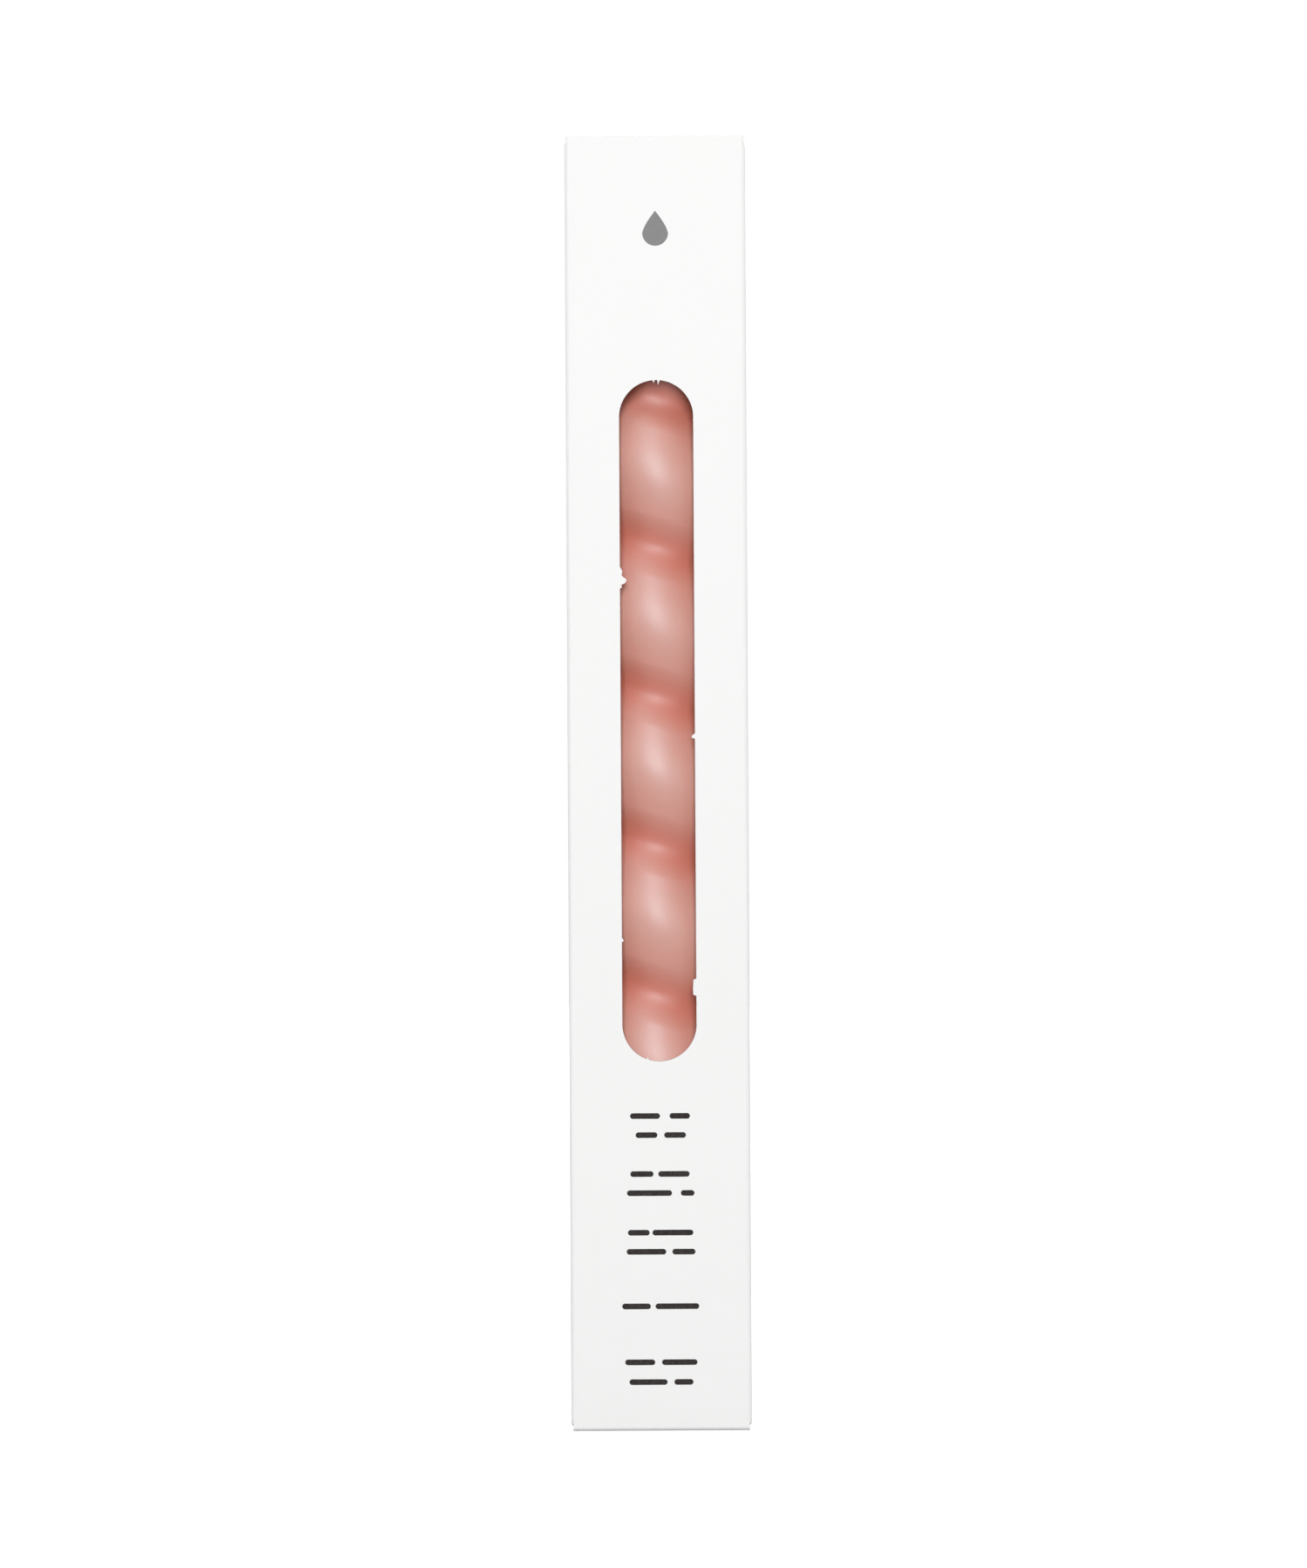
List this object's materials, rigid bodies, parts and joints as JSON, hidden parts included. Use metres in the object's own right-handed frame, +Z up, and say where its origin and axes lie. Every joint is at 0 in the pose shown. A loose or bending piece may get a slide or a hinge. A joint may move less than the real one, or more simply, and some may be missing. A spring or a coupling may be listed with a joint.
{
  "type": "spiral candle",
  "caption": "Spiral wax candle with a twisted cotton wick, packed in a slim white folding carton with a long round-ended window and a hinged lid with tuck and dust flaps at each end.",
  "frame": {"origin": "middle of the carton's base, on the surface it stands on", "axes": "+Z up along the candle, -Y the front with the window, +X to the right as seen from the front"},
  "size_m": [0.0264, 0.0264, 0.19],
  "materials": {
    "board": "coated white folding boxboard, matt",
    "wax": "dusty pink dyed wax with a soft sheen",
    "wick": "twisted cotton"
  },
  "bodies": {
    "carton": {"front_panel": "board", "back_panel": "board", "left_panel": "board", "right_panel": "board", "glue_flap": "board"},
    "top_lid": {"top_lid": "board"},
    "top_tuck_flap": {"top_tuck_flap": "board"},
    "top_left_dust_flap": {"top_left_dust_flap": "board"},
    "top_right_dust_flap": {"top_right_dust_flap": "board"},
    "bottom_lid": {"bottom_lid": "board"},
    "bottom_tuck_flap": {"bottom_tuck_flap": "board"},
    "bottom_left_dust_flap": {"bottom_left_dust_flap": "board"},
    "bottom_right_dust_flap": {"bottom_right_dust_flap": "board"},
    "candle": {"candle_wax": "wax", "candle_wick": "wick"}
  },
  "joints": [
    {"name": "top_lid_crease", "type": "hinge", "parent": "carton", "child": "top_lid", "pos_m": [0, 0.01325, 0.19], "axis": [-1, 0, 0], "range_deg": [0, 180]},
    {"name": "top_tuck_crease", "type": "hinge", "parent": "top_lid", "child": "top_tuck_flap", "pos_m": [0, -0.0127, 0.19], "axis": [-1, 0, 0], "range_deg": [-2, 9]},
    {"name": "top_left_dust_crease", "type": "hinge", "parent": "carton", "child": "top_left_dust_flap", "pos_m": [-0.01325, 0, 0.1895], "axis": [0, -1, 0], "range_deg": [0, 81]},
    {"name": "top_right_dust_crease", "type": "hinge", "parent": "carton", "child": "top_right_dust_flap", "pos_m": [0.01325, 0, 0.1895], "axis": [0, 1, 0], "range_deg": [0, 81]},
    {"name": "bottom_lid_crease", "type": "hinge", "parent": "carton", "child": "bottom_lid", "pos_m": [0, -0.01325, 0], "axis": [-1, 0, 0], "range_deg": [0, 180]},
    {"name": "bottom_tuck_crease", "type": "hinge", "parent": "bottom_lid", "child": "bottom_tuck_flap", "pos_m": [0, 0.0127, 0], "axis": [-1, 0, 0], "range_deg": [-2, 9]},
    {"name": "bottom_left_dust_crease", "type": "hinge", "parent": "carton", "child": "bottom_left_dust_flap", "pos_m": [-0.01325, 0, 0.0005], "axis": [0, 1, 0], "range_deg": [0, 81]},
    {"name": "bottom_right_dust_crease", "type": "hinge", "parent": "carton", "child": "bottom_right_dust_flap", "pos_m": [0.01325, 0, 0.0005], "axis": [0, -1, 0], "range_deg": [0, 81]},
    {"name": "candle_slide", "type": "slide", "parent": "carton", "child": "candle", "axis": [0, 0, 1], "range_m": [0, 0.0025]}
  ],
  "couplings": [
    {"joint": "top_left_dust_crease", "follows": "top_lid_crease", "ratio": 0.45},
    {"joint": "top_right_dust_crease", "follows": "top_lid_crease", "ratio": 0.45},
    {"joint": "bottom_left_dust_crease", "follows": "bottom_lid_crease", "ratio": 0.45},
    {"joint": "bottom_right_dust_crease", "follows": "bottom_lid_crease", "ratio": 0.45}
  ]
}
